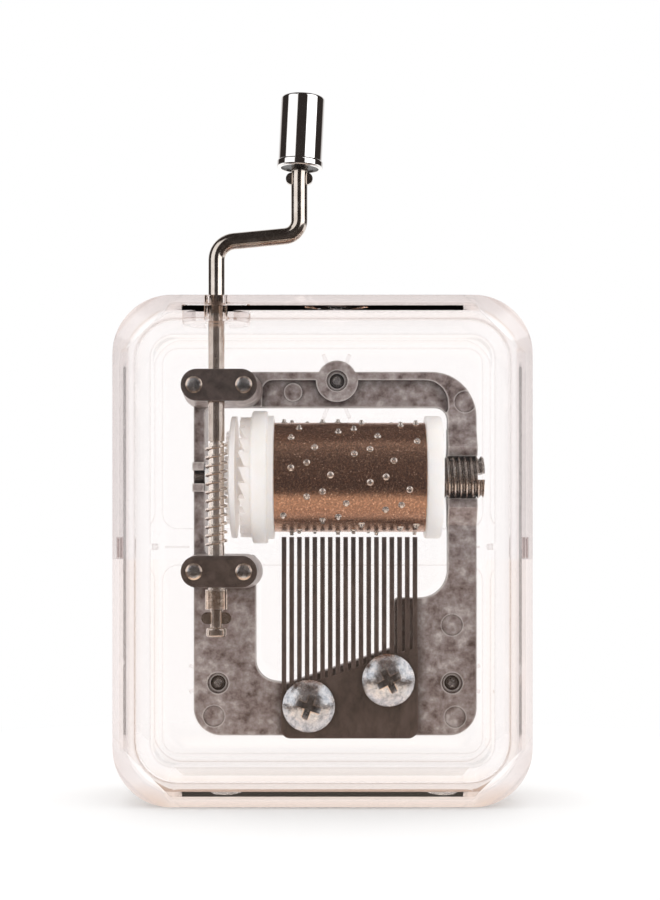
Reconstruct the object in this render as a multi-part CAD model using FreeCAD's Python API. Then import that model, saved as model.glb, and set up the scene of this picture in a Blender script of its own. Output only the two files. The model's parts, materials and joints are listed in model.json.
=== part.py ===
import FreeCAD, Part
import math
import os

# Hand crank music box: a pinned cylinder plucks a steel comb inside a clear two-part case.
# X points right, Y from the front face to the back, Z up. The origin is the bottom centre
# of the case. Every number is in millimetres unless its name says degrees.

# Case
CASE_WIDTH = 52.5
CASE_HEIGHT = 64.0
CASE_DEPTH = 22.0
CORNER_RADIUS = 7.4
BEVEL_INSET = 1.6
BEVEL_DEPTH = 2.0
FACE_THICKNESS = 1.8
FRONT_WALL = 2.0
BACK_WALL = 4.05
CAVITY_RADIUS = 3.0
LIP_LENGTH = 1.4
LIP_GAP = 0.05
SEAM_GAP = 0.04
LATCH_HEIGHT = 32.4
PANEL_DEPTH = 0.3
BAND_BOTTOM, BAND_TOP = 30.0, 35.1
BOSS_RADIUS, BOSS_HEIGHT = 4.3, 1.3
SCREW_BOSS_RADIUS = 2.6
RIB_REACH = 4.7

# Crank: a bent wire that turns about a vertical axis near the left side
CRANK_X, CRANK_Y = -13.45, -5.6
WIRE_RADIUS = 1.03
SPINDLE_RADIUS = 0.8
THROW = 10.5
ARM_HEIGHT = 71.1
ARM_RISE_DEGREES = 5.5
LOWER_BEND, UPPER_BEND = 2.4, 2.0
CRANK_BOTTOM = 21.1
KNOB_SEAT = 79.3
KNOB_LEAN_DEGREES = 2.8
CRANK_HOLE_RADIUS = 1.5

# Knob, measured up from its seat on the crank
KNOB_BOTTOM, KNOB_TOP = 1.2, 10.35
KNOB_RADIUS, KNOB_LIP_RADIUS = 2.75, 2.9
KNOB_WALL = 0.35
BUSH_TOP = 5.6
PIN_TOP = 8.0

# Worm and crown gear
WORM_PITCH = 1.1
WORM_RADIUS, WORM_CORE = 1.4, 1.0
WORM_BOTTOM, WORM_TOP = 32.6, 45.7
JOURNAL_RADIUS, COLLAR_RADIUS = 1.05, 1.4
COLLAR_BOTTOM, COLLAR_TOP = 24.6, 27.1
CROWN_TEETH = 32
CROWN_RADIUS = CROWN_TEETH * WORM_PITCH / (2 * math.pi)
CROWN_FACE_WIDTH = 0.8

# Cylinder, about the X direction
AXIS_Z = 41.57
SLEEVE_LEFT, SLEEVE_RIGHT = -6.18, 13.2
SLEEVE_RADIUS, SLEEVE_WALL = 7.1, 0.35
PIN_RADIUS, PIN_PROUD = 0.25, 0.42
ARBOR_RADIUS = 0.8
ARBOR_LEFT, ARBOR_RIGHT = -16.7, 18.4
WHEEL_FACE, WHEEL_BACK = -11.95, -11.1
CROWN_TIP = -12.4
WHEEL_RADIUS = 7.9
RATCHET_TEETH = 24
RATCHET_ROOT, RATCHET_TIP = -9.8, -10.6
RATCHET_INNER, RATCHET_OUTER = 6.6, 7.8
HUB_RADIUS = 8.6
CAP_RIGHT, CAP_RADIUS = 15.35, 7.94
RUNNING_GAP = 0.05

# Comb
TOOTH_COUNT = 18
TOOTH_PITCH = 1.0
TOOTH_WIDTH = 0.6
TOOTH_THICKNESS = 0.6
FIRST_TOOTH_X = -5.0
TOOTH_TIP_Z = 33.82
COMB_FRONT, COMB_BACK = -0.6, 0.6
COMB_LEFT, COMB_RIGHT, COMB_BOTTOM = -5.39, 12.4, 7.68
ROOT_Z, ROOT_SLOPE = 13.72, 0.338
WEIGHTED_TEETH = 6
DAMPED_TEETH = 10
COMB_SCREWS = ((-1.79, 11.93), (8.53, 15.27))

# Movement frame, a die casting
FRAME_FRONT, PLATE_BACK, FRAME_BACK = 0.6, 3.0, 8.0
FRAME_LEFT, FRAME_RIGHT, FRAME_BOTTOM, FRAME_TOP = -16.8, 20.1, 7.95, 55.37
RIB_THICKNESS = 1.4
CASE_SCREWS = ((1.89, 54.2), (-13.64, 14.77), (16.91, 14.77))
EJECTOR_MARKS = ((18.6, 51.45), (16.9, 22.34), (17.3, 10.33), (-14.17, 10.46))
EJECTOR_RADIUS, EJECTOR_DEPTH = 1.4, 0.2
RECESS_FLOOR = 1.5
STRAP_X = -13.03
STRAP_HEIGHTS = (52.9, 29.4)
STRAP_LENGTH, STRAP_WIDTH, STRAP_THICKNESS = 9.6, 4.0, 0.8
STRAP_BACK = -6.7
RIVET_SPACING, RIVET_HOLE_RADIUS = 6.26, 0.77
STUD_LEFT, STUD_RIGHT, STUD_RADIUS, STUD_PITCH = 15.75, 20.85, 2.73, 0.75
SADDLE_LEFT, SADDLE_WIDTH = 16.3, 3.8

OVERSHOOT = 1.0
MID_Z = CASE_HEIGHT / 2


def vec(x, y, z):
    return FreeCAD.Vector(x, y, z)


RIGHT, BACKWARD, FORWARD, UP = vec(1, 0, 0), vec(0, 1, 0), vec(0, -1, 0), vec(0, 0, 1)


def outline(corners, y=0.0):
    """Closed wire at depth y through (x, z, radius) corners, rounded by each radius."""
    points = [vec(x, y, z) for x, z, _ in corners]
    spans = []
    for i, (_, _, radius) in enumerate(corners):
        corner = points[i]
        if radius == 0:
            spans.append((corner, None, corner))
            continue
        before = (points[i - 1] - corner).normalize()
        after = (points[(i + 1) % len(points)] - corner).normalize()
        half_angle = before.getAngle(after) / 2
        reach = radius / math.tan(half_angle)
        inward = (before + after).normalize()
        middle = corner + inward * (radius / math.sin(half_angle) - radius)
        spans.append((corner + before * reach, middle, corner + after * reach))
    edges = []
    for i, (entry, middle, leave) in enumerate(spans):
        if middle is not None:
            edges.append(Part.Arc(entry, middle, leave).toShape())
        following = spans[(i + 1) % len(spans)][0]
        if (following - leave).Length > 1e-6:
            edges.append(Part.makeLine(leave, following))
    return Part.Wire(edges)


def prism(corners, front, back):
    """A rounded outline in X and Z, solid from depth front to depth back."""
    return Part.Face(outline(corners, front)).extrude(vec(0, back - front, 0))


def box(low, high):
    size = vec(*high) - vec(*low)
    return Part.makeBox(size.x, size.y, size.z, vec(*low))


def turned(corners):
    """A body of revolution about Z from (radius, height, corner radius) corners."""
    return Part.Face(outline(corners)).revolve(vec(0, 0, 0), UP, 360)


def placed(shape, base, direction=UP):
    """The shape with its own Z axis laid along direction and its origin at base."""
    moved = shape.copy()
    stand = FreeCAD.Placement(base, FreeCAD.Rotation(UP, direction))
    moved.Placement = stand.multiply(shape.Placement)
    return moved


def rod(base, direction, radius, length):
    return Part.makeCylinder(radius, length, base, direction)


def tube(base, direction, outer, inner, length):
    return rod(base, direction, outer, length).cut(rod(base, direction, inner, length))


def on_axis(x):
    """The point of the cylinder's axis at x."""
    return vec(x, 0, AXIS_Z)


def repeated_round_axis(shape, count):
    """Copies of shape, evenly spaced about the cylinder's axis."""
    copies = []
    for k in range(count):
        turned_copy = shape.copy()
        turned_copy.rotate(on_axis(0), RIGHT, k * 360 / count)
        copies.append(turned_copy)
    return copies


def helical_thread(length, pitch, core, crest, crest_width, root_width):
    """A right-hand thread on its core about Z, with a crest facing +X at height 0."""
    sunk = 0.12
    helix = Part.makeHelix(pitch, length + 2 * pitch, core)
    helix.translate(vec(0, 0, -pitch))
    flank = (root_width - crest_width) / 2 / (crest - core)
    foot = root_width / 2 + flank * sunk
    points = [
        vec(core - sunk, 0, -pitch - foot),
        vec(crest, 0, -pitch - crest_width / 2),
        vec(crest, 0, -pitch + crest_width / 2),
        vec(core - sunk, 0, -pitch + foot),
    ]
    profile = Part.makePolygon(points + points[:1])
    ridge = Part.Wire(helix.Edges).makePipeShell([profile], True, True)
    ridge = ridge.common(Part.makeCylinder(crest + OVERSHOOT, length))
    return Part.makeCylinder(core, length).fuse(ridge)


def pill(centre_x, centre_z, length, width):
    """Corners of a bar with fully round ends."""
    near_round = width / 2 - 1e-3
    half_length, half_width = length / 2, width / 2
    return [
        (centre_x + sx * half_length, centre_z + sz * half_width, near_round)
        for sx, sz in ((1, 1), (-1, 1), (-1, -1), (1, -1))
    ]


def rectangle(half_width, half_height, radius, centre_z=MID_Z):
    """Corners of a rounded rectangle centred on X = 0."""
    return [
        (sx * half_width, centre_z + sz * half_height, radius)
        for sx, sz in ((1, 1), (-1, 1), (-1, -1), (1, -1))
    ]


def cross_recess(radius, depth, wing):
    """A cross-shaped driver recess that opens at height 0 and narrows as it goes down."""
    wings = [
        Part.makeBox(2 * radius, wing, depth, vec(-radius, -wing / 2, -depth)),
        Part.makeBox(wing, 2 * radius, depth, vec(-wing / 2, -radius, -depth)),
    ]
    mouth = Part.makeCone(radius * 0.35, radius, depth, vec(0, 0, -depth))
    return wings[0].fuse(wings[1]).common(mouth)


def domed_screw(head_radius, head_height, rim_height, shank_radius, shank_length):
    """A screw along Z with its head above height 0 and its shank below."""
    rise = head_height - rim_height
    sphere = (head_radius**2 + rise**2) / (2 * rise)
    swing = math.asin(head_radius / sphere) / 2
    middle_z = head_height - sphere * (1 - math.cos(swing))
    middle = vec(sphere * math.sin(swing), 0, middle_z)
    chamfer = 0.4
    path = [
        vec(0, 0, head_height),
        vec(0, 0, -shank_length),
        vec(shank_radius - chamfer, 0, -shank_length),
        vec(shank_radius, 0, -shank_length + chamfer),
        vec(shank_radius, 0, 0),
        vec(head_radius, 0, 0),
        vec(head_radius, 0, rim_height),
    ]
    edges = [Part.makeLine(a, b) for a, b in zip(path, path[1:])]
    edges.append(Part.Arc(path[-1], middle, path[0]).toShape())
    return Part.Face(Part.Wire(edges)).revolve(vec(0, 0, 0), UP, 360)


def faceted_edge(y):
    """The eight-sided edge of the flat front or back face."""
    across = CASE_WIDTH / 2 - CORNER_RADIUS
    up = MID_Z - CORNER_RADIUS
    wide = CASE_WIDTH / 2 - BEVEL_INSET
    tall = MID_Z - BEVEL_INSET
    sides = [(wide, up), (across, tall), (-across, tall), (-wide, up)]
    sides += [(-wide, -up), (-across, -tall), (across, -tall), (wide, -up)]
    points = [vec(x, y, MID_Z + z) for x, z in sides]
    return Part.makePolygon(points + points[:1])


def half_case(side):
    """Solid outer shape of one half: side is -1 for the front half, 1 for the back half."""
    rim = rectangle(CASE_WIDTH / 2, MID_Z, CORNER_RADIUS)
    shoulder = side * (CASE_DEPTH / 2 - BEVEL_DEPTH)
    seam = side * SEAM_GAP / 2
    sections = [outline(rim, seam), outline(rim, shoulder), faceted_edge(side * CASE_DEPTH / 2)]
    return Part.makeLoft(sections, True, True)


def latch_bumps(outward, width, front, back):
    """A low wedge on each side wall, standing outward by the given height."""
    bumps = []
    wall = CASE_WIDTH / 2 - FRONT_WALL - LIP_GAP
    for side in (-1, 1):
        low = min(side * (wall - 0.5), side * (wall + outward))
        high = max(side * (wall - 0.5), side * (wall + outward))
        half = width / 2
        bumps.append(box((low, front, LATCH_HEIGHT - half), (high, back, LATCH_HEIGHT + half)))
    return bumps


def make_front_shell():
    inner = rectangle(CASE_WIDTH / 2 - FRONT_WALL, MID_Z - FRONT_WALL, CORNER_RADIUS - FRONT_WALL)
    inside = FACE_THICKNESS - CASE_DEPTH / 2
    shell = half_case(-1).cut(prism(inner, inside, OVERSHOOT))
    ceiling = CASE_HEIGHT - FRONT_WALL
    boss_foot = vec(CRANK_X, CRANK_Y, ceiling - BOSS_HEIGHT)
    boss = rod(boss_foot, UP, BOSS_RADIUS, BOSS_HEIGHT + OVERSHOOT)
    clear_of_lip = box((-40, inside - OVERSHOOT, 0), (40, -LIP_LENGTH - 0.1, CASE_HEIGHT - 0.5))
    shell = shell.fuse(boss.common(clear_of_lip))
    notch_low, notch_high = ceiling - 3, CASE_HEIGHT + OVERSHOOT
    notch = rod(vec(CRANK_X, CRANK_Y, notch_low), UP, CRANK_HOLE_RADIUS, notch_high - notch_low)
    slot = box(
        (CRANK_X - CRANK_HOLE_RADIUS, CRANK_Y, notch_low),
        (CRANK_X + CRANK_HOLE_RADIUS, OVERSHOOT, notch_high),
    )
    shell = shell.cut(notch.fuse(slot))
    for pocket in latch_bumps(0.6, 2.8, -1.25, -0.2):
        shell = shell.cut(pocket)
    return shell


def make_back_shell():
    lip = rectangle(
        CASE_WIDTH / 2 - FRONT_WALL - LIP_GAP,
        MID_Z - FRONT_WALL - LIP_GAP,
        CORNER_RADIUS - FRONT_WALL,
    )
    floor = CASE_DEPTH / 2 - FACE_THICKNESS
    shell = half_case(1).fuse(prism(lip, -LIP_LENGTH, OVERSHOOT))
    half_width, half_height = CASE_WIDTH / 2 - BACK_WALL, MID_Z - BACK_WALL
    cavity = rectangle(half_width, half_height, CAVITY_RADIUS)
    shell = shell.cut(prism(cavity, -OVERSHOOT * 3, floor))

    # Two shallow panels in the back wall, with a plain band across the middle
    lowest, highest = MID_Z - half_height + 0.6, MID_Z + half_height - 0.6
    for low, high in ((lowest, BAND_BOTTOM), (BAND_TOP, highest)):
        panel = rectangle(half_width - 0.6, (high - low) / 2, 2.0, (high + low) / 2)
        shell = shell.cut(prism(panel, floor - OVERSHOOT, floor + PANEL_DEPTH))
    middle = (BAND_BOTTOM + BAND_TOP) / 2
    for side in (-1, 1):
        left, right = sorted((side * 18.0, side * 21.3))
        bar = box((left, floor - 0.3, middle - 0.15), (right, floor + 0.1, middle + 0.15))
        left, right = sorted((side * (half_width - 0.9), side * (half_width + 0.3)))
        stop = box((left, -LIP_LENGTH, middle - 0.4), (right, 0.6, middle + 0.4))
        shell = shell.fuse(bar).fuse(stop)

    # A boss with radial ribs behind each screw that holds the movement
    for x, z in CASE_SCREWS:
        boss_front = FRAME_BACK + 0.05
        shell = shell.fuse(rod(vec(x, boss_front, z), BACKWARD, SCREW_BOSS_RADIUS, 2.0))
        for k in range(8):
            rib = box(
                (x + SCREW_BOSS_RADIUS - 0.4, boss_front + 0.35, z - 0.25),
                (x + RIB_REACH, floor + PANEL_DEPTH + 0.1, z + 0.25),
            )
            rib.rotate(vec(x, 0, z), BACKWARD, k * 45 + 22.5)
            shell = shell.fuse(rib)
        shell = shell.cut(rod(vec(x, boss_front - OVERSHOOT, z), BACKWARD, 1.15, 6))
        shell = shell.cut(rod(vec(x, 9.4, z), BACKWARD, SCREW_BOSS_RADIUS, 3))

    # A tongue closes the notch of the front shell behind the crank wire
    tongue_half = CRANK_HOLE_RADIUS - LIP_GAP
    tongue = box(
        (CRANK_X - tongue_half, CRANK_Y + 0.3, CASE_HEIGHT - FRONT_WALL - 0.05),
        (CRANK_X + tongue_half, 0.2, CASE_HEIGHT),
    )
    shell = shell.fuse(tongue)
    shell = shell.cut(rod(vec(CRANK_X, CRANK_Y, CASE_HEIGHT - 5), UP, CRANK_HOLE_RADIUS, 8))
    for bump in latch_bumps(0.4, 2.4, -1.1, -0.4):
        shell = shell.fuse(bump)
    return shell


def make_case_screws():
    screw = domed_screw(2.3, 1.3, 0.5, 0.95, 8.3)
    recess = placed(cross_recess(1.5, 0.9, 0.55), vec(0, 0, 1.3))
    screw = screw.cut(recess)
    return [placed(screw, vec(x, 9.4, z), BACKWARD) for x, z in CASE_SCREWS]


def root_line(x):
    """Height of the slots' closed ends at x."""
    return ROOT_Z + ROOT_SLOPE * (x - FIRST_TOOTH_X)


def window_corners():
    """The opening of the frame that the cylinder and the comb's teeth stand in."""
    sill = 0.9
    return [
        (-15.34, 50.8, 0.8),
        (16.35, 50.8, 1.6),
        (16.35, 25.9, 3.6),
        (9.35, 25.9, 0.6),
        (9.35, root_line(9.35) + sill, 0.6),
        (-4.6, root_line(-4.6) + sill, 1.0),
        (-8.7, 15.3, 2.8),
        (-8.7, 31.5, 0.5),
        (-15.34, 31.5, 0.8),
    ]


def strap_lug(height):
    """The raised seat that a strap is riveted to, with draft on its sides."""
    spread = pill(STRAP_X + 0.05, height, STRAP_LENGTH + 0.8, STRAP_WIDTH + 0.5)
    foot = outline(spread, FRAME_FRONT + 0.2)
    top = outline(pill(STRAP_X, height, STRAP_LENGTH, STRAP_WIDTH), STRAP_BACK)
    return Part.makeLoft([foot, top], True, True)


def rivet_places():
    half = RIVET_SPACING / 2
    return [(STRAP_X + side * half, z) for z in STRAP_HEIGHTS for side in (-1, 1)]


def make_movement_frame():
    body = [
        (FRAME_LEFT, FRAME_BOTTOM, 3.6),
        (FRAME_RIGHT, FRAME_BOTTOM, 3.6),
        (FRAME_RIGHT, FRAME_TOP, 5.9),
        (FRAME_LEFT, FRAME_TOP, 2.2),
    ]
    rib = RIB_THICKNESS
    inside = [
        (FRAME_LEFT + rib, FRAME_BOTTOM + rib, 2.2),
        (FRAME_RIGHT - rib, FRAME_BOTTOM + rib, 2.2),
        (FRAME_RIGHT - rib, FRAME_TOP - rib, 4.5),
        (FRAME_LEFT + rib, FRAME_TOP - rib, 0.8),
    ]
    frame = prism(body, FRAME_FRONT, PLATE_BACK)
    hole_x, hole_z = CASE_SCREWS[0]
    frame = frame.fuse(rod(vec(hole_x, FRAME_FRONT, hole_z), BACKWARD, 2.65, FRAME_BACK - FRAME_FRONT))

    # The top bar is sunk between a rim above and the window below
    recess = prism(
        [(-7.9, 54.3, 1.4), (16.4, 54.3, 3.0), (16.4, 50.0, 0.6), (-7.9, 50.0, 0.6)],
        FRAME_FRONT - OVERSHOOT,
        RECESS_FLOOR,
    )
    recess = recess.cut(rod(vec(hole_x, -OVERSHOOT, hole_z), BACKWARD, 2.75, 5))
    frame = frame.cut(recess)
    frame = frame.fuse(rod(vec(-3.85, RECESS_FLOOR - 0.25, 52.76), BACKWARD, 1.2, 0.6))

    # A rib runs round the back of the plate
    wall = prism(body, PLATE_BACK - 0.2, FRAME_BACK).cut(prism(inside, 0, FRAME_BACK + OVERSHOOT))
    frame = frame.fuse(wall)
    for x, z in CASE_SCREWS[1:]:
        post_length = FRAME_BACK - PLATE_BACK + 0.2
        frame = frame.fuse(rod(vec(x, PLATE_BACK - 0.2, z), BACKWARD, SCREW_BOSS_RADIUS, post_length))
    for x, z in COMB_SCREWS:
        frame = frame.fuse(rod(vec(x, PLATE_BACK - 0.2, z), BACKWARD, 2.3, 2.4))
    frame = frame.cut(prism(window_corners(), -OVERSHOOT, FRAME_BACK + OVERSHOOT))

    # Saddle that holds the threaded bearing, open at the front
    saddle_points = [(3.0, -6.4), (0.7, -6.4), (-1.0, -3.9), (-0.3, -2.2)]
    saddle_points += [(y, -z) for y, z in reversed(saddle_points)]
    ring = [vec(SADDLE_LEFT, y, AXIS_Z + z) for y, z in saddle_points]
    saddle = Part.Face(Part.makePolygon(ring + ring[:1])).extrude(vec(SADDLE_WIDTH, 0, 0))
    round_back = rod(on_axis(SADDLE_LEFT), RIGHT, 5.0, SADDLE_WIDTH)
    frame = frame.fuse(saddle).fuse(round_back.common(box((16, 0, 30), (21, 8, 55))))
    frame = frame.cut(rod(vec(16, 0, AXIS_Z), RIGHT, STUD_RADIUS + 0.06, 6))
    frame = frame.cut(box((16, -3, AXIS_Z - 2.3), (21, 0, AXIS_Z + 2.3)))

    # Left bearing: a small block on the thin arm, slotted from the front for the arbor
    frame = frame.fuse(box((FRAME_LEFT, -1.7, AXIS_Z - 1.9), (-15.34, PLATE_BACK, AXIS_Z + 1.9)))
    bore = ARBOR_RADIUS + RUNNING_GAP
    frame = frame.cut(rod(on_axis(FRAME_LEFT - 1), RIGHT, bore, 4))
    frame = frame.cut(box((FRAME_LEFT - 1, -3, AXIS_Z - bore), (-15, 0, AXIS_Z + bore)))

    # Strap lugs with their grooves for the crank
    radius = JOURNAL_RADIUS + RUNNING_GAP
    for height in STRAP_HEIGHTS:
        frame = frame.fuse(strap_lug(height))
        frame = frame.cut(rod(vec(CRANK_X, CRANK_Y, height - 4), UP, radius, 8))
        frame = frame.cut(
            box(
                (CRANK_X - radius, STRAP_BACK - 1, height - 4),
                (CRANK_X + radius, CRANK_Y, height + 4),
            )
        )
    for x, z in rivet_places():
        frame = frame.cut(rod(vec(x, STRAP_BACK - 1, z), BACKWARD, RIVET_HOLE_RADIUS, 4.6))

    for x, z in CASE_SCREWS:
        frame = frame.cut(rod(vec(x, -OVERSHOOT, z), BACKWARD, 1.38, 2.2))
        frame = frame.cut(rod(vec(x, -OVERSHOOT, z), BACKWARD, 1.0, FRAME_BACK + 3))
    for x, z in COMB_SCREWS:
        frame = frame.cut(rod(vec(x, -OVERSHOOT, z), BACKWARD, 1.25, 8))
    mark_length = OVERSHOOT + EJECTOR_DEPTH
    for x, z in EJECTOR_MARKS:
        start = vec(x, FRAME_FRONT - OVERSHOOT, z)
        frame = frame.cut(rod(start, BACKWARD, EJECTOR_RADIUS, mark_length))
    return frame


def make_strap(height):
    shape = pill(STRAP_X, height, STRAP_LENGTH, STRAP_WIDTH)
    strap = prism(shape, STRAP_BACK - STRAP_THICKNESS, STRAP_BACK)
    for x, z in rivet_places():
        if z == height:
            strap = strap.cut(rod(vec(x, STRAP_BACK - 2, z), BACKWARD, RIVET_HOLE_RADIUS, 4))
    return strap


def make_strap_rivets():
    rivet = domed_screw(1.06, 0.42, 0.12, 0.75, 4.2)
    front = STRAP_BACK - STRAP_THICKNESS
    return [placed(rivet, vec(x, front, z), FORWARD) for x, z in rivet_places()]


def tooth_centres():
    return [FIRST_TOOTH_X + i * TOOTH_PITCH for i in range(TOOTH_COUNT)]


def make_comb():
    left_top, right_top = root_line(COMB_LEFT), root_line(COMB_RIGHT)
    plate = prism(
        [
            (COMB_LEFT, COMB_BOTTOM, 1.2),
            (COMB_RIGHT, COMB_BOTTOM, 1.3),
            (COMB_RIGHT, right_top, 0),
            (COMB_LEFT, left_top, 0),
        ],
        COMB_FRONT,
        COMB_BACK,
    )
    for x in tooth_centres():
        low = (x - TOOTH_WIDTH / 2, COMB_FRONT, root_line(x) - 0.6)
        high = (x + TOOTH_WIDTH / 2, COMB_FRONT + TOOTH_THICKNESS, TOOTH_TIP_Z)
        plate = plate.fuse(box(low, high))
    for x, z in COMB_SCREWS:
        plate = plate.cut(rod(vec(x, -2, z), BACKWARD, 1.6, 4))
    return plate


def make_comb_weights():
    """Lead blocks that slow the longest teeth, shorter from bass to treble."""
    behind = COMB_FRONT + TOOTH_THICKNESS
    blocks = []
    for i, x in enumerate(tooth_centres()[:WEIGHTED_TEETH]):
        length = 3.0 - 0.35 * i
        blocks.append(box((x - 0.28, behind, 33.3 - length), (x + 0.28, behind + 1.5, 33.3)))
    return blocks


def make_comb_dampers():
    """Fine spring strips that quiet a tooth before its next pin arrives."""
    behind = COMB_FRONT + TOOTH_THICKNESS
    strips = []
    for x in tooth_centres()[WEIGHTED_TEETH : WEIGHTED_TEETH + DAMPED_TEETH]:
        strip = box((x - 0.2, behind + 0.02, 29.8), (x + 0.2, behind + 0.12, 33.6))
        strip.rotate(vec(x, behind, 29.8), RIGHT, -5)
        strips.append(strip)
    return strips


def make_comb_screws():
    screw = domed_screw(3.4, 2.0, 0.55, 1.2, 5.4)
    recess = placed(cross_recess(2.0, 1.3, 0.8), vec(0, 0, 2.0))
    screw = screw.cut(recess)
    screws = []
    for (x, z), turn in zip(COMB_SCREWS, (20, 62)):
        fitted = placed(screw, vec(x, COMB_FRONT, z), FORWARD)
        fitted.rotate(vec(x, 0, z), BACKWARD, turn)
        screws.append(fitted)
    return screws


def make_bearing_stud():
    thread = helical_thread(
        STUD_RIGHT - STUD_LEFT, STUD_PITCH, STUD_RADIUS - 0.36, STUD_RADIUS, 0.16, 0.62
    )
    stud = placed(thread, on_axis(STUD_LEFT), RIGHT)
    bore_length = ARBOR_RIGHT - STUD_LEFT + 1.4
    bore = rod(on_axis(STUD_LEFT - 1), RIGHT, ARBOR_RADIUS + RUNNING_GAP, bore_length)
    slot = box((STUD_RIGHT - 0.9, -4, AXIS_Z - 0.4), (STUD_RIGHT + 1, 4, AXIS_Z + 0.4))
    return stud.cut(bore).cut(slot)


def make_thrust_washer():
    return tube(on_axis(CAP_RIGHT + 0.03), RIGHT, 1.9, ARBOR_RADIUS + 0.03, 0.3)


def crank_path():
    """Centre line of the wire from the worm up to the knob seat, with tangent bends."""
    rise = math.tan(math.radians(ARM_RISE_DEGREES))
    far_x = CRANK_X + THROW
    corners = [
        vec(CRANK_X, CRANK_Y, WORM_TOP + 0.2),
        vec(CRANK_X, CRANK_Y, ARM_HEIGHT),
        vec(far_x, CRANK_Y, ARM_HEIGHT + THROW * rise),
        vec(far_x, CRANK_Y, KNOB_SEAT),
    ]
    edges = []
    start = corners[0]
    bends = (LOWER_BEND, UPPER_BEND)
    for before, corner, after, radius in zip(corners, corners[1:], corners[2:], bends):
        back = (before - corner).normalize()
        on = (after - corner).normalize()
        half_angle = back.getAngle(on) / 2
        reach = radius / math.tan(half_angle)
        middle = corner + (back + on).normalize() * (radius / math.sin(half_angle) - radius)
        edges.append(Part.makeLine(start, corner + back * reach))
        edges.append(Part.Arc(corner + back * reach, middle, corner + on * reach).toShape())
        start = corner + on * reach
    edges.append(Part.makeLine(start, corners[-1]))
    return Part.Wire(edges)


def knob_seat():
    return vec(CRANK_X + THROW, CRANK_Y, KNOB_SEAT)


def leaned(shape):
    """The shape stood on the knob seat and leaned to the right with the knob's pin."""
    moved = placed(shape, knob_seat())
    moved.rotate(knob_seat(), BACKWARD, KNOB_LEAN_DEGREES)
    return moved


def staked_ears(centre, width, height):
    """Two flattened ears pinched out of the wire, seen wide from the front."""
    ears = Part.Face(outline(pill(centre.x, centre.z, width, height), centre.y - 0.4))
    return ears.extrude(vec(0, 0.8, 0))


def make_crank_rod():
    start = vec(CRANK_X, CRANK_Y, WORM_TOP + 0.2)
    section = Part.Wire(Part.makeCircle(WIRE_RADIUS, start, UP))
    wire = crank_path().makePipeShell([section], True, False)
    spindle = rod(vec(CRANK_X, CRANK_Y, CRANK_BOTTOM), UP, SPINDLE_RADIUS, start.z + 1 - CRANK_BOTTOM)
    foot = placed(
        turned([(0, 0, 0), (1.3, 0, 0.3), (1.3, 1.2, 0.3), (0, 1.2, 0)]),
        vec(CRANK_X, CRANK_Y, CRANK_BOTTOM),
    )
    pin_corners = [(0, 0, 0), (WIRE_RADIUS, 0, 0), (WIRE_RADIUS, BUSH_TOP + 0.2, 0)]
    pin_corners += [(1.55, BUSH_TOP + 0.2, 0.15), (1.55, PIN_TOP, 0.7), (0, PIN_TOP, 0)]
    pin = leaned(turned(pin_corners))
    joint_ball = Part.makeSphere(WIRE_RADIUS, knob_seat())
    lower_ears = staked_ears(vec(CRANK_X, CRANK_Y, 23.5), 3.8, 1.5)
    upper_ears = staked_ears(knob_seat() + vec(0, 0, -0.1), 3.4, 1.5)
    whole = wire
    for piece in (spindle, foot, joint_ball, pin, lower_ears, upper_ears):
        whole = whole.fuse(piece)
    return whole


def make_worm():
    length = WORM_TOP - WORM_BOTTOM
    thread = helical_thread(length, WORM_PITCH, WORM_CORE, WORM_RADIUS, 0.22, 0.45)
    # A gap of the thread faces the crown gear's front tooth
    above_crest = (AXIS_Z - WORM_PITCH / 2 - WORM_BOTTOM) % WORM_PITCH
    thread.rotate(vec(0, 0, 0), UP, -360 * above_crest / WORM_PITCH)
    worm = placed(thread, vec(CRANK_X, CRANK_Y, WORM_BOTTOM))
    journal = rod(vec(CRANK_X, CRANK_Y, COLLAR_TOP), UP, JOURNAL_RADIUS, WORM_BOTTOM - COLLAR_TOP + 0.1)
    collar = rod(vec(CRANK_X, CRANK_Y, COLLAR_BOTTOM), UP, COLLAR_RADIUS, COLLAR_TOP - COLLAR_BOTTOM)
    bore = rod(vec(CRANK_X, CRANK_Y, COLLAR_BOTTOM - 1), UP, SPINDLE_RADIUS + 0.01, 30)
    return worm.fuse(journal).fuse(collar).cut(bore)


def make_knob_shell():
    inner = KNOB_RADIUS - KNOB_WALL
    cup = turned(
        [
            (inner, KNOB_BOTTOM, 0),
            (KNOB_LIP_RADIUS, KNOB_BOTTOM, 0.25),
            (KNOB_LIP_RADIUS, KNOB_BOTTOM + 0.9, 0.25),
            (KNOB_RADIUS, KNOB_BOTTOM + 1.0, 0),
            (KNOB_RADIUS, KNOB_TOP - 0.1, 0.35),
            (0, KNOB_TOP, 0),
            (0, KNOB_TOP - KNOB_WALL, 0),
            (inner, KNOB_TOP - KNOB_WALL, 0.2),
        ]
    )
    return leaned(cup)


def make_knob_bush():
    inner = KNOB_RADIUS - KNOB_WALL - 0.02
    bush = turned(
        [
            (WIRE_RADIUS + RUNNING_GAP, KNOB_BOTTOM + 0.2, 0),
            (inner, KNOB_BOTTOM + 0.2, 0),
            (inner, BUSH_TOP, 0.3),
            (WIRE_RADIUS + RUNNING_GAP, BUSH_TOP, 0),
        ]
    )
    return leaned(bush)


def make_cylinder_arbor():
    return rod(on_axis(ARBOR_LEFT), RIGHT, ARBOR_RADIUS, ARBOR_RIGHT - ARBOR_LEFT)


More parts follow.
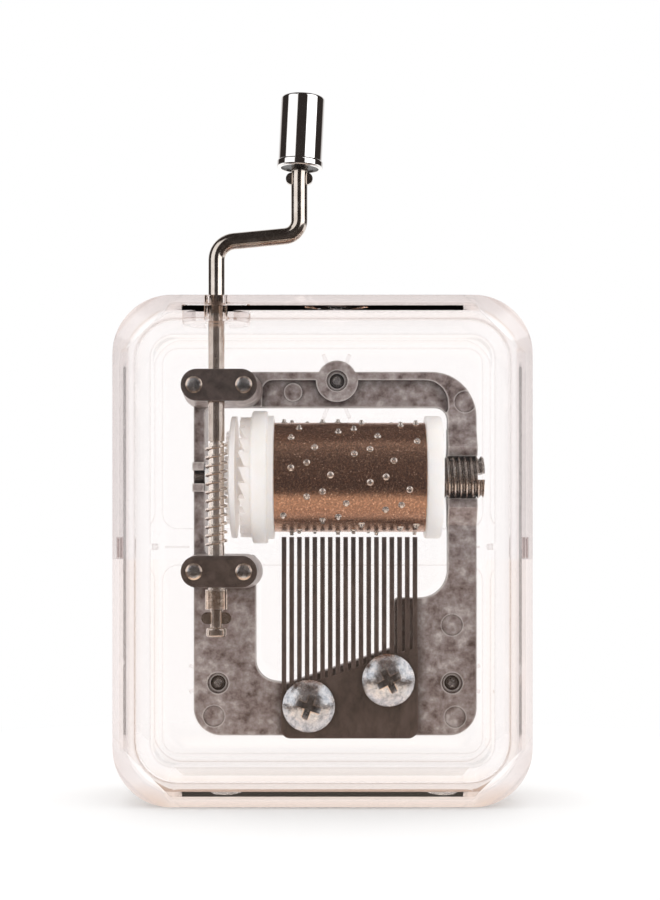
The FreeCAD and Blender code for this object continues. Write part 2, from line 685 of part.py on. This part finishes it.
def make_worm_wheel():
    """Crown gear: its teeth face left, and two dogs on its back drive the ratchet."""
    bore = ARBOR_RADIUS + 0.01
    disc = turned(
        [
            (bore, -15.2 - WHEEL_FACE, 0),
            (1.9, -15.2 - WHEEL_FACE, 0.2),
            (1.9, 0, 0.3),
            (CROWN_RADIUS + 1.0, 0, 0),
            (WHEEL_RADIUS, 0.2, 0.15),
            (WHEEL_RADIUS, WHEEL_BACK - WHEEL_FACE, 0),
            (2.6, WHEEL_BACK - WHEEL_FACE, 0),
            (2.6, -9.4 - WHEEL_FACE, 0.2),
            (bore, -9.4 - WHEEL_FACE, 0),
        ]
    )
    wheel = placed(disc, on_axis(WHEEL_FACE), RIGHT)
    inner_y = -(CROWN_RADIUS - CROWN_FACE_WIDTH / 2)
    points = [
        vec(WHEEL_FACE + 0.1, inner_y, AXIS_Z - 0.22),
        vec(CROWN_TIP, inner_y, AXIS_Z - 0.12),
        vec(CROWN_TIP, inner_y, AXIS_Z + 0.12),
        vec(WHEEL_FACE + 0.1, inner_y, AXIS_Z + 0.22),
    ]
    tooth = Part.Face(Part.makePolygon(points + points[:1])).extrude(vec(0, -CROWN_FACE_WIDTH, 0))
    wheel = wheel.fuse(repeated_round_axis(tooth, CROWN_TEETH))
    dog = box(
        (WHEEL_BACK - 0.1, RATCHET_INNER + 0.2, AXIS_Z + 0.55),
        (-10.1, RATCHET_OUTER - 0.2, AXIS_Z + 0.85),
    )
    for turn in (-30, 30):
        fitted = dog.copy()
        fitted.rotate(on_axis(0), RIGHT, turn)
        wheel = wheel.fuse(fitted)
    return wheel


def make_ratchet_hub():
    """Left end of the cylinder: a flange with a ring of saw teeth facing the worm wheel."""
    plug = SLEEVE_RADIUS - SLEEVE_WALL - 0.02
    shoulder = SLEEVE_LEFT - 0.05
    profile = turned(
        [
            (2.8, -9.2, 0),
            (RATCHET_OUTER, -9.2, 0),
            (HUB_RADIUS, -9.0, 0.3),
            (HUB_RADIUS, -7.1, 0.3),
            (8.0, -7.0, 0),
            (8.0, shoulder, 0.15),
            (plug, shoulder, 0),
            (plug, -3.4, 0.3),
            (2.8, -3.4, 0),
        ]
    )
    hub = placed(profile, on_axis(0), RIGHT)
    half = math.pi * RATCHET_OUTER / RATCHET_TEETH
    points = [
        vec(-9.0, -RATCHET_INNER + 0.6, AXIS_Z - half),
        vec(RATCHET_ROOT, -RATCHET_INNER + 0.6, AXIS_Z - half),
        vec(RATCHET_TIP, -RATCHET_INNER + 0.6, AXIS_Z + half * 0.96),
        vec(-9.0, -RATCHET_INNER + 0.6, AXIS_Z + half * 0.96),
    ]
    tooth = Part.Face(Part.makePolygon(points + points[:1])).extrude(vec(0, -2.4, 0))
    ring = tube(on_axis(-11), RIGHT, RATCHET_OUTER, RATCHET_INNER, 3)
    teeth = repeated_round_axis(tooth.common(ring), RATCHET_TEETH)
    floor = tube(on_axis(-9.3), RIGHT, 3.4, ARBOR_RADIUS + RUNNING_GAP, 1.2)
    web = tube(on_axis(-8.6), RIGHT, 4.0, ARBOR_RADIUS + RUNNING_GAP, 1.6)
    return hub.fuse(teeth).fuse(floor).fuse(web)


def make_cylinder_sleeve():
    length = SLEEVE_RIGHT - SLEEVE_LEFT
    return tube(on_axis(SLEEVE_LEFT), RIGHT, SLEEVE_RADIUS, SLEEVE_RADIUS - SLEEVE_WALL, length)


def pin_places():
    """(tooth number, angle in degrees) of every pin: runs up the scale with a chord note."""
    beats = 48
    places = []
    for beat in range(beats):
        angle = beat * 360 / beats
        melody = (5 * beat) % TOOTH_COUNT
        places.append((melody, angle))
        if beat % 2 == 0:
            places.append(((melody + 7) % TOOTH_COUNT, angle + 2))
    return places


def make_cylinder_pins():
    centres = tooth_centres()
    foot = SLEEVE_RADIUS - SLEEVE_WALL / 2
    length = SLEEVE_RADIUS + PIN_PROUD - foot
    pin = turned([(0, 0, 0), (PIN_RADIUS, 0, 0), (PIN_RADIUS, length, 0.1), (0, length, 0)])
    pins = []
    for tooth, angle in pin_places():
        fitted = placed(pin, vec(centres[tooth], 0, AXIS_Z + foot))
        fitted.rotate(on_axis(0), RIGHT, angle)
        pins.append(fitted)
    return pins


def make_right_end_cap():
    plug = SLEEVE_RADIUS - SLEEVE_WALL - 0.02
    shoulder = SLEEVE_RIGHT + 0.05
    bore = ARBOR_RADIUS + 0.01
    cap = turned(
        [
            (bore, 10.6, 0),
            (plug, 10.6, 0.3),
            (plug, shoulder, 0),
            (CAP_RADIUS, shoulder, 0.15),
            (CAP_RADIUS, CAP_RIGHT, 0.4),
            (bore, CAP_RIGHT, 0),
        ]
    )
    return placed(cap, on_axis(0), RIGHT)


def make_clutch_spring():
    """Compression spring round the arbor that presses the ratchet hub to the worm wheel."""
    wire, coil, pitch, left, right = 0.25, 1.9, 1.25, -6.6, 4.6
    helix = Part.makeHelix(pitch, right - left - 2 * wire, coil)
    section = Part.Wire(Part.makeCircle(wire, vec(coil, 0, 0), BACKWARD))
    spring = Part.Wire(helix.Edges).makePipeShell([section], True, True)
    return placed(spring, on_axis(left + wire), RIGHT)


def make_spring_retainer():
    return tube(on_axis(4.75), RIGHT, 2.6, ARBOR_RADIUS + 0.01, 0.6)


def main():
    os.makedirs("parts", exist_ok=True)
    parts = {
        "front_shell": make_front_shell(),
        "back_shell": make_back_shell(),
        "case_screws": make_case_screws(),
        "movement_frame": make_movement_frame(),
        "upper_strap": make_strap(STRAP_HEIGHTS[0]),
        "lower_strap": make_strap(STRAP_HEIGHTS[1]),
        "strap_rivets": make_strap_rivets(),
        "comb": make_comb(),
        "comb_weights": make_comb_weights(),
        "comb_dampers": make_comb_dampers(),
        "comb_screws": make_comb_screws(),
        "bearing_stud": make_bearing_stud(),
        "thrust_washer": make_thrust_washer(),
        "crank_rod": make_crank_rod(),
        "worm": make_worm(),
        "knob_shell": make_knob_shell(),
        "knob_bush": make_knob_bush(),
        "cylinder_arbor": make_cylinder_arbor(),
        "worm_wheel": make_worm_wheel(),
        "ratchet_hub": make_ratchet_hub(),
        "cylinder_sleeve": make_cylinder_sleeve(),
        "cylinder_pins": make_cylinder_pins(),
        "right_end_cap": make_right_end_cap(),
        "clutch_spring": make_clutch_spring(),
        "spring_retainer": make_spring_retainer(),
    }
    for name, made in parts.items():
        shape = Part.makeCompound(made) if isinstance(made, list) else made.removeSplitter()
        shape.exportStep(f"parts/{name}.step")
        print(f"{name}: {len(shape.Solids)} solids, valid {shape.isValid()}, {shape.Volume:.2f} mm3")


main()
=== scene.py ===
import json
import math

import bmesh
import bpy
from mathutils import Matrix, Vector


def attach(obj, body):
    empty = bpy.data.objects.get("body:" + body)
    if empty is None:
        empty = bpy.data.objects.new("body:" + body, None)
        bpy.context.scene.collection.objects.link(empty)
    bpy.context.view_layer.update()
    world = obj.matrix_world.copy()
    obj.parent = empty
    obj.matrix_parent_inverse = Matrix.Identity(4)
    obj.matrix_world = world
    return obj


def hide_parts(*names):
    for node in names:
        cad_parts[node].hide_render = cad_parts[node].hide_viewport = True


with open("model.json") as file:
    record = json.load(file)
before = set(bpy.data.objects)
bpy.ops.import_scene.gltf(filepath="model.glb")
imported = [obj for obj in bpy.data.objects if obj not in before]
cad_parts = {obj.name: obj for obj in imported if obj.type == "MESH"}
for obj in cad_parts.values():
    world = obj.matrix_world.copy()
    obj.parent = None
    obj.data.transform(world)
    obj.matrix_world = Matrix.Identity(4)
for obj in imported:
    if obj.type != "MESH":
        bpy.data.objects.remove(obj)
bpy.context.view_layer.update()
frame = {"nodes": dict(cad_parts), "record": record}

MM = 0.001
CASE_MIDDLE = 32 * MM

# Cylinder pins: the cylinder's axis and radius, and a pin's outline as (radius, height) in mm
AXIS_Z, SLEEVE_RADIUS = 41.57 * MM, 7.1 * MM
PIN_RING = [(0.46, -0.1), (0.46, 0.0), (0.40, 0.07), (0.30, 0.11)]
PIN_PROFILE = PIN_RING + [(0.26, 0.16), (0.26, 0.36), (0.19, 0.44)]
PIN_SEGMENTS = 14

# Camera: level with the middle of the case, with the crank kept in view by a lens shift
CAMERA_DISTANCE = 220 * MM
LENS_MM, SENSOR_MM = 67.58, 36.0
SHIFT_X, SHIFT_Y = 0.0083, 0.1122

# Clear plastic: the tint of its faces and of its walls, a painted warm reflection along its bottom
# and painted dark lines along its sharp edges
FACE_TINT = (0.968, 0.953, 0.950, 1)
WALL_TINT = (0.90, 0.865, 0.86, 1)
BOTTOM_PAINTED_REFLECTION = (0.86, 0.76, 0.69, 1)
CREASE_PAINTED_SHADE = (0.74, 0.68, 0.67, 1)

# Studio: brightness of the two panels and of its dark parts, seen from outside and inside
# the case
LEFT_PANEL, RIGHT_PANEL = 1.4, 2.2
STUDIO_DARK, INNER_DARK = 0.035, 0.08
# What light that turns round inside the clear wall sees in front, up to so many degrees
WALL_SHADE, WALL_SHADE_SIDE = 0.35, 30
# What the white surroundings add for everything but the camera
FILL = 0.24
# How a floor that metal mirrors looks: beside the case, in front of it, and beyond the table
FLOOR_WHITE = (1.0, 0.985, 0.97, 1)
FLOOR_WARM = (1.0, 0.85, 0.72, 1)
FLOOR_DARK = (STUDIO_DARK, STUDIO_DARK * 0.74, STUDIO_DARK * 0.62, 1)
FLOOR_IN_WALL = (0.55, 0.40, 0.31, 1)


# ---- Node helpers ----


def new_material(name, **inputs):
    """A material with a Principled shader whose sockets have the given plain values."""
    material = bpy.data.materials.new(name)
    material.use_nodes = True
    tree = material.node_tree
    shader = tree.nodes["Principled BSDF"]
    for socket, value in inputs.items():
        shader.inputs[socket.replace("_", " ")].default_value = value
    return material, tree, shader


def millimetres(tree, stretch=(1, 1, 1)):
    """Position on the object in millimetres, squeezed or stretched per axis."""
    place = tree.nodes.new("ShaderNodeTexCoord")
    scaled = tree.nodes.new("ShaderNodeVectorMath")
    scaled.operation = "MULTIPLY"
    scaled.inputs[1].default_value = [1000 * s for s in stretch]
    tree.links.new(place.outputs["Object"], scaled.inputs[0])
    return scaled.outputs[0]


def noise(tree, vector, size_mm, detail=3.0, roughness=0.5):
    """A cloudy pattern from 0 to 1 whose largest blobs are about size_mm across."""
    node = tree.nodes.new("ShaderNodeTexNoise")
    node.inputs["Scale"].default_value = 1 / size_mm
    node.inputs["Detail"].default_value = detail
    node.inputs["Roughness"].default_value = roughness
    tree.links.new(vector, node.inputs["Vector"])
    return node.outputs["Fac"]


def ramp(tree, value, stops):
    """A colour ramp through (position, (r, g, b)) stops."""
    node = tree.nodes.new("ShaderNodeValToRGB")
    elements = node.color_ramp.elements
    while len(elements) < len(stops):
        elements.new(0.5)
    for element, (position, colour) in zip(elements, stops):
        element.position = position
        element.color = (*colour, 1)
    tree.links.new(value, node.inputs["Fac"])
    return node.outputs["Color"]


def spread(tree, value, low, high, start=0.3, end=0.7):
    """The value remapped from start..end to low..high."""
    node = tree.nodes.new("ShaderNodeMapRange")
    node.inputs["From Min"].default_value = start
    node.inputs["From Max"].default_value = end
    node.inputs["To Min"].default_value = low
    node.inputs["To Max"].default_value = high
    tree.links.new(value, node.inputs["Value"])
    return node.outputs["Result"]


def math_node(tree, operation, first, second=None):
    """One calculation; each value may be a plain number or a socket."""
    node = tree.nodes.new("ShaderNodeMath")
    node.operation = operation
    for socket, value in zip(node.inputs, (first, second)):
        if isinstance(value, (int, float)):
            socket.default_value = value
        elif value is not None:
            tree.links.new(value, socket)
    return node.outputs[0]


def bump(tree, height, shader, strength, distance_mm):
    """Makes the height pattern show as relief in the shader's surface."""
    node = tree.nodes.new("ShaderNodeBump")
    node.inputs["Strength"].default_value = strength
    node.inputs["Distance"].default_value = distance_mm * MM
    tree.links.new(height, node.inputs["Height"])
    tree.links.new(node.outputs["Normal"], shader.inputs["Normal"])


def mixed(tree, blend, factor, first, second):
    """Two colours blended; the factor may be a plain number or a socket."""
    node = tree.nodes.new("ShaderNodeMix")
    node.data_type, node.blend_type = "RGBA", blend
    # Inputs 6 and 7 and output 2 are the colour ones of this many-sided node
    for index, value in ((0, factor), (6, first), (7, second)):
        if hasattr(value, "links"):
            tree.links.new(value, node.inputs[index])
        else:
            node.inputs[index].default_value = value
    return node.outputs[2]


def openness(tree, reach_mm, inside=False):
    """1 on open faces, less in corners; inside, it is less along outer edges."""
    node = tree.nodes.new("ShaderNodeAmbientOcclusion")
    node.inside = inside
    node.samples = 6
    node.inputs["Distance"].default_value = reach_mm * MM
    return node.outputs["AO"]


def metal(
    name, stops, size_mm, roughness, stretch=(1, 1, 1), grain=0.1, metallic=1.0, edge_wear_and_highlight=None
):
    """A metal whose colour, gloss and surface vary with one noise pattern.

    The edge colour lightens its edges, partly as bare-metal wear and partly as a painted highlight;
    with it, painted shade darkens its corners.
    """
    material, tree, shader = new_material(name, Metallic=metallic)
    place = millimetres(tree, stretch)
    pattern = noise(tree, place, size_mm, 5.0, 0.6)
    colour = ramp(tree, pattern, stops)
    if edge_wear_and_highlight:
        # Painted shade: corners and recesses are darkened by how enclosed they are
        painted_corner_shade = spread(tree, openness(tree, 1.6), 0.25, 1.0, 0.35, 0.95)
        colour = mixed(tree, "MULTIPLY", 1.0, colour, painted_corner_shade)
        # Edges lightened: partly bare-metal wear, partly a painted highlight
        edge = spread(tree, openness(tree, 0.35, inside=True), 0.9, 0.0, 0.5, 0.8)
        colour = mixed(tree, "MIX", edge, colour, (*edge_wear_and_highlight, 1))
    tree.links.new(colour, shader.inputs["Base Color"])
    tree.links.new(spread(tree, pattern, *roughness), shader.inputs["Roughness"])
    bump(tree, noise(tree, place, size_mm * 0.4, 4.0), shader, grain, 0.05)
    return material


def light_path(tree):
    """What a ray did on its way, each 0 or 1.

    It was mirrored; it is inside the case or came through it; it turned round inside the clear
    wall; and it isn't straight from the camera.
    """
    path = tree.nodes.new("ShaderNodeLightPath")
    bounced = math_node(tree, "GREATER_THAN", path.outputs["Glossy Depth"], 0.5)
    depth = path.outputs["Transmission Depth"]
    inside = math_node(tree, "GREATER_THAN", depth, 0.5)
    shallow = math_node(tree, "LESS_THAN", depth, 3.5)
    repeated = math_node(tree, "GREATER_THAN", path.outputs["Glossy Depth"], 1.5)
    turned = math_node(tree, "MAXIMUM", shallow, repeated)
    in_wall = math_node(tree, "MULTIPLY", bounced, math_node(tree, "MULTIPLY", inside, turned))
    unseen = math_node(tree, "SUBTRACT", 1, path.outputs["Is Camera Ray"])
    return bounced, inside, in_wall, unseen


# ---- Materials ----


def clear_plastic():
    """Polished clear moulding: light passes, and its faces are very slightly wavy."""
    material, tree, shader = new_material(
        "clear_plastic",
        Roughness=0.0,
        IOR=1.185,
        Transmission_Weight=1.0,
        Coat_Weight=1.0,
        Coat_Roughness=0.0,
        Coat_IOR=1.5,
    )
    place = millimetres(tree)
    bump(tree, noise(tree, place, 9.0, 1.0), shader, 0.03, 0.3)

    # The walls are seen edge on through much more plastic than the faces, so they take a darker
    # tint
    axes = tree.nodes.new("ShaderNodeSeparateXYZ")
    tree.links.new(place, axes.inputs[0])
    from_middle = math_node(tree, "SUBTRACT", axes.outputs["Z"], CASE_MIDDLE / MM)
    high = spread(tree, math_node(tree, "ABSOLUTE", from_middle), 0, 1, 28.5, 32)
    wide = spread(tree, math_node(tree, "ABSOLUTE", axes.outputs["X"]), 0, 1, 22.5, 26.2)
    walls = math_node(tree, "MAXIMUM", high, wide)
    tint = mixed(tree, "MIX", walls, FACE_TINT, WALL_TINT)
    # Painted reflection: a warm brown band is painted along the bottom of the case
    low = spread(tree, axes.outputs["Z"], 1, 0, 0.5, 3.0)
    tint = mixed(tree, "MIX", low, tint, BOTTOM_PAINTED_REFLECTION)
    # Painted shade: thin dark lines are painted along the case's sharp creases
    painted_crease_shade = spread(tree, openness(tree, 0.45, inside=True), 1, 0, 0.55, 0.85)
    tint = mixed(tree, "MIX", painted_crease_shade, tint, CREASE_PAINTED_SHADE)
    tree.links.new(tint, shader.inputs["Base Color"])

    # Light passes it without casting a hard shadow
    path = tree.nodes.new("ShaderNodeLightPath")
    clear = tree.nodes.new("ShaderNodeBsdfTransparent")
    clear.inputs["Color"].default_value = (0.97, 0.955, 0.95, 1)
    mix = tree.nodes.new("ShaderNodeMixShader")
    tree.links.new(path.outputs["Is Shadow Ray"], mix.inputs[0])
    tree.links.new(shader.outputs[0], mix.inputs[1])
    tree.links.new(clear.outputs[0], mix.inputs[2])
    tree.links.new(mix.outputs[0], tree.nodes["Material Output"].inputs["Surface"])
    return material


def white_plastic():
    """Milky moulding: light goes into it, and a faint painted glow keeps it and its hollows pale.
    """
    material, tree, shader = new_material(
        "white_plastic",
        Roughness=0.4,
        Subsurface_Weight=1.0,
        Subsurface_Scale=0.003,
        # Painted light: a faint warm glow brightens the plastic, though it is no lamp
        Emission_Color=(1.0, 0.94, 0.90, 1),
        Emission_Strength=0.1,
    )
    shader.inputs["Subsurface Radius"].default_value = (1.0, 0.9, 0.8)
    pattern = noise(tree, millimetres(tree), 2.5, 4.0)
    colours = [(0.3, (0.97, 0.90, 0.85)), (0.7, (0.99, 0.945, 0.91))]
    tree.links.new(ramp(tree, pattern, colours), shader.inputs["Base Color"])
    bump(tree, noise(tree, millimetres(tree), 0.3, 2.0), shader, 0.1, 0.03)
    return material


def dark_plastic():
    """Near-black moulding of the knob's bush."""
    material, tree, shader = new_material("dark_plastic", Roughness=0.4)
    pattern = noise(tree, millimetres(tree), 0.8, 4.0)
    colours = [(0.3, (0.02, 0.02, 0.02)), (0.7, (0.05, 0.05, 0.05))]
    tree.links.new(ramp(tree, pattern, colours), shader.inputs["Base Color"])
    return material


def make_materials():
    """One material for each slot of the record."""
    zinc = [
        (0.3, (0.11, 0.078, 0.072)),
        (0.42, (0.27, 0.215, 0.205)),
        (0.58, (0.44, 0.39, 0.38)),
        (0.72, (0.70, 0.66, 0.65)),
    ]
    blackened = [(0.3, (0.042, 0.029, 0.025)), (0.7, (0.11, 0.082, 0.072))]
    comb = [(0.3, (0.045, 0.032, 0.028)), (0.7, (0.12, 0.088, 0.076))]
    plated = [(0.3, (0.36, 0.40, 0.45)), (0.5, (0.66, 0.70, 0.74)), (0.7, (0.90, 0.90, 0.90))]
    plain = [(0.3, (0.52, 0.46, 0.42)), (0.7, (0.76, 0.71, 0.67))]
    spring = [(0.3, (0.4, 0.4, 0.4)), (0.7, (0.55, 0.55, 0.55))]
    pin = [(0.3, (0.8, 0.77, 0.72)), (0.7, (0.95, 0.93, 0.9))]
    nickel = [(0.3, (0.48, 0.42, 0.37)), (0.7, (0.66, 0.60, 0.55))]
    chrome = [(0.3, (0.74, 0.73, 0.72)), (0.7, (0.84, 0.83, 0.82))]
    worm = [(0.3, (0.58, 0.46, 0.37)), (0.7, (0.82, 0.71, 0.62))]
    brass = [(0.3, (0.30, 0.18, 0.125)), (0.55, (0.50, 0.285, 0.185)), (0.72, (0.85, 0.62, 0.47))]
    lead = [(0.3, (0.2, 0.2, 0.21)), (0.7, (0.32, 0.32, 0.33))]
    return {
        "clear_plastic": clear_plastic(),
        "cast_zinc": metal(
            "cast_zinc", zinc, 1.3, (0.30, 0.48),
            grain=0.6, metallic=0.4, edge_wear_and_highlight=(0.85, 0.82, 0.80),
        ),
        "blackened_steel": metal(
            "blackened_steel", blackened, 1.0, (0.35, 0.5),
            grain=0.2, metallic=0.5, edge_wear_and_highlight=(0.13, 0.10, 0.09),
        ),
        "comb_steel": metal(
            "comb_steel", comb, 1.3, (0.32, 0.5), stretch=(1, 1, 0.5),
            grain=0.2, metallic=0.5, edge_wear_and_highlight=(0.16, 0.12, 0.11),
        ),
        "zinc_plated_steel": metal(
            "zinc_plated_steel", plated, 0.8, (0.12, 0.3),
            grain=0.5, edge_wear_and_highlight=(0.75, 0.62, 0.52),
        ),
        "plain_steel": metal(
            "plain_steel", plain, 0.6, (0.18, 0.3),
            grain=0.1, edge_wear_and_highlight=(0.9, 0.87, 0.84),
        ),
        "spring_steel": metal("spring_steel", spring, 0.5, (0.2, 0.3)),
        "pin_steel": metal("pin_steel", pin, 0.3, (0.15, 0.25)),
        "nickel_plated_steel": metal("nickel_plated_steel", nickel, 1.2, (0.10, 0.2), grain=0.05),
        "chrome": metal("chrome", chrome, 2.0, (0.03, 0.07), grain=0.02),
        "worm_brass": metal("worm_brass", worm, 0.5, (0.12, 0.24), edge_wear_and_highlight=(0.97, 0.92, 0.86)),
        "brass": metal("brass", brass, 0.25, (0.16, 0.28), grain=0.3),
        "lead": metal("lead", lead, 0.6, (0.5, 0.7), grain=0.4),
        "white_plastic": white_plastic(),
        "dark_plastic": dark_plastic(),
    }


def dress_nodes(materials):
    """Gives every CAD node the material of its slot in the record."""
    for part in frame["record"]["subparts"]:
        shown = frame["nodes"][part["node"]]
        if not shown.material_slots:
            shown.data.materials.append(None)
        for slot in shown.material_slots:
            slot.material = materials[part["material_slot"]]


# ---- Pins ----


def islands(mesh):
    """The middle of each separate piece of a mesh."""
    work = bmesh.new()
    work.from_mesh(mesh)
    bmesh.ops.remove_doubles(work, verts=work.verts, dist=0.001 * MM)
    left = set(work.verts)
    middles = []
    for start in list(work.verts):
        if start not in left:
            continue
        left.discard(start)
        reached, waiting = [start], [start]
        while waiting:
            for edge in waiting.pop().link_edges:
                for vert in edge.verts:
                    if vert in left:
                        left.discard(vert)
                        reached.append(vert)
                        waiting.append(vert)
        middles.append(sum((v.co for v in reached), Vector()) / len(reached))
    work.free()
    return middles


def make_pins(material):
    """Each cylinder pin as a turned wire end with the raised ring where it leaves the tube."""
    node = frame["nodes"]["cylinder_pins"]
    mesh = bpy.data.meshes.new("turned_pins")
    work = bmesh.new()
    for middle in islands(node.data):
        middle = node.matrix_world @ middle
        outward = Vector((0, middle.y, middle.z - AXIS_Z)).normalized()
        foot = Vector((middle.x, 0, AXIS_Z)) + outward * SLEEVE_RADIUS
        along = Vector((1, 0, 0))
        across = outward.cross(along)
        rings = []
        for radius, height in PIN_PROFILE:
            ring = []
            for k in range(PIN_SEGMENTS):
                angle = 2 * math.pi * k / PIN_SEGMENTS
                reach = (along * math.cos(angle) + across * math.sin(angle)) * radius * MM
                ring.append(work.verts.new(foot + reach + outward * height * MM))
            rings.append(ring)
        for lower, upper in zip(rings, rings[1:]):
            for k in range(PIN_SEGMENTS):
                after = (k + 1) % PIN_SEGMENTS
                work.faces.new((lower[k], lower[after], upper[after], upper[k])).smooth = True
        work.faces.new(rings[-1])
        work.faces.new(list(reversed(rings[0])))
    bmesh.ops.recalc_face_normals(work, faces=work.faces)
    work.to_mesh(mesh)
    work.free()
    mesh.materials.append(material)
    pins = bpy.data.objects.new("turned_pins", mesh)
    bpy.context.scene.collection.objects.link(pins)
    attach(pins, "cylinder")
    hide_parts("cylinder_pins")


# ---- Studio ----


def make_camera():
    """The photograph's camera, in front of the case."""
    data = bpy.data.cameras.new("camera")
    data.lens = LENS_MM
    data.sensor_width = SENSOR_MM
    data.shift_x, data.shift_y = SHIFT_X, SHIFT_Y
    data.clip_start, data.clip_end = 0.01, 20
    camera = bpy.data.objects.new("camera", data)
    camera.location = (0, -CAMERA_DISTANCE, CASE_MIDDLE)
    camera.rotation_euler = (math.radians(90), 0, 0)
    bpy.context.scene.collection.objects.link(camera)
    bpy.context.scene.camera = camera


def make_world():
    """White all round. What metal mirrors is a dark studio with a bright panel at each side."""
    world = bpy.data.worlds.new("studio")
    bpy.context.scene.world = world
    world.use_nodes = True
    tree = world.node_tree
    place = tree.nodes.new("ShaderNodeTexCoord")
    axes = tree.nodes.new("ShaderNodeSeparateXYZ")
    tree.links.new(place.outputs["Generated"], axes.inputs[0])
    x, y, z = axes.outputs

    def product(first, second):
        return math_node(tree, "MULTIPLY", first, second)

    def larger(first, second):
        return math_node(tree, "MAXIMUM", first, second)

    def inverse(value):
        return math_node(tree, "SUBTRACT", 1, value)

    def band(value, low, high, soft):
        rise = spread(tree, value, 0, 1, low - soft, low + soft)
        fall = spread(tree, value, 1, 0, high - soft, high + soft)
        return product(rise, fall)

    # Degrees round from the front, the same to the left and to the right
    side = math_node(tree, "ARCTAN2", math_node(tree, "ABSOLUTE", x), product(y, -1))
    side = product(side, 180 / math.pi)
    panels = product(band(side, 26, 82, 2), band(z, -0.35, 0.75, 0.05))
    panels = product(panels, spread(tree, x, LEFT_PANEL, RIGHT_PANEL, -0.1, 0.1))
    backdrop = product(band(side, 140, 200, 8), band(z, -2, 0.8, 0.04))
    studio = larger(larger(panels, product(backdrop, 0.85)), STUDIO_DARK)
    beside = band(math_node(tree, "ABSOLUTE", x), -1, 0.5, 0.06)
    overhead = product(beside, band(z, -0.12, 2, 0.05))
    overhead = product(overhead, band(y, -2, 0.72, 0.06))
    ahead = product(band(side, -40, 44, 6), band(z, -0.15, 0.5, 0.05))
    inner = larger(inverse(larger(overhead, ahead)), INNER_DARK)
    inner = product(inner, 1 + FILL)
    wall = larger(inverse(band(side, -40, WALL_SHADE_SIDE, 8)), WALL_SHADE)
    wall = product(wall, 1 + FILL)

    # Outside the clear case metal mirrors the studio, inside it a bright room with a dark
    # ceiling, and light that turns round inside the clear wall sees only a pale grey
    bounced, inside, in_wall, unseen = light_path(tree)
    deep = math_node(tree, "SUBTRACT", inside, in_wall)
    mirrored = math_node(tree, "ADD", product(studio, inverse(inside)), product(inner, deep))
    mirrored = math_node(tree, "ADD", mirrored, product(wall, in_wall))
    plain = math_node(tree, "ADD", 1, product(unseen, FILL))
    level = math_node(tree, "ADD", product(mirrored, bounced), product(plain, inverse(bounced)))
    warmth = [(0.0, (1.0, 0.80, 0.72)), (0.12, (1.0, 0.84, 0.77)), (0.6, (1.0, 0.95, 0.93))]
    colour = ramp(tree, level, warmth + [(1.0, (1, 1, 1))])
    background = tree.nodes["Background"]
    tree.links.new(colour, background.inputs["Color"])
    tree.links.new(level, background.inputs["Strength"])


def make_floor():
    """A pale floor that fades into the white surroundings."""
    mesh = bpy.data.meshes.new("floor")
    reach = 6.0
    corners = [(-reach, -reach, 0), (reach, -reach, 0), (reach, reach, 0), (-reach, reach, 0)]
    mesh.from_pydata(corners, [], [(0, 1, 2, 3)])
    floor = bpy.data.objects.new("floor", mesh)
    floor.location.z = -0.02 * MM
    bpy.context.scene.collection.objects.link(floor)
    material, tree, shader = new_material("floor", Base_Color=(0.96, 0.955, 0.95, 1), Roughness=0.9)
    shader.inputs["Specular IOR Level"].default_value = 0.1
    glow = tree.nodes.new("ShaderNodeEmission")
    glow.inputs["Color"].default_value = (1, 1, 1, 1)
    place = millimetres(tree)
    distance = tree.nodes.new("ShaderNodeVectorMath")
    distance.operation = "LENGTH"
    tree.links.new(place, distance.inputs[0])
    axes = tree.nodes.new("ShaderNodeSeparateXYZ")
    tree.links.new(place, axes.inputs[0])
    mix = tree.nodes.new("ShaderNodeMixShader")
    tree.links.new(spread(tree, distance.outputs["Value"], 0, 1, 35, 100), mix.inputs[0])
    tree.links.new(shader.outputs[0], mix.inputs[1])
    tree.links.new(glow.outputs[0], mix.inputs[2])

    # What mirrors the floor sees only its near part, because the table ends in front
    bounced, _, in_wall, unseen = light_path(tree)
    extra = math_node(tree, "MULTIPLY", unseen, FILL)
    tree.links.new(math_node(tree, "ADD", 1, extra), glow.inputs["Strength"])
    beyond = spread(tree, distance.outputs["Value"], 0, 1, 46, 60)
    in_front = spread(tree, axes.outputs["Y"], 1, 0, -20, 0)
    near = mixed(tree, "MIX", in_front, FLOOR_WHITE, FLOOR_WARM)
    ended = math_node(tree, "MULTIPLY", beyond, in_front)
    table = mixed(tree, "MIX", ended, near, FLOOR_DARK)
    mirrored = tree.nodes.new("ShaderNodeEmission")
    mirrored.inputs["Strength"].default_value = 1 + FILL
    seen = mixed(tree, "MIX", in_wall, table, FLOOR_IN_WALL)
    tree.links.new(seen, mirrored.inputs["Color"])
    shown = tree.nodes.new("ShaderNodeMixShader")
    tree.links.new(bounced, shown.inputs[0])
    tree.links.new(mix.outputs[0], shown.inputs[1])
    tree.links.new(mirrored.outputs[0], shown.inputs[2])
    tree.links.new(shown.outputs[0], tree.nodes["Material Output"].inputs["Surface"])
    mesh.materials.append(material)


materials = make_materials()
dress_nodes(materials)
make_pins(materials["pin_steel"])
make_camera()
make_world()
make_floor()
bpy.context.scene.view_settings.view_transform = "Standard"
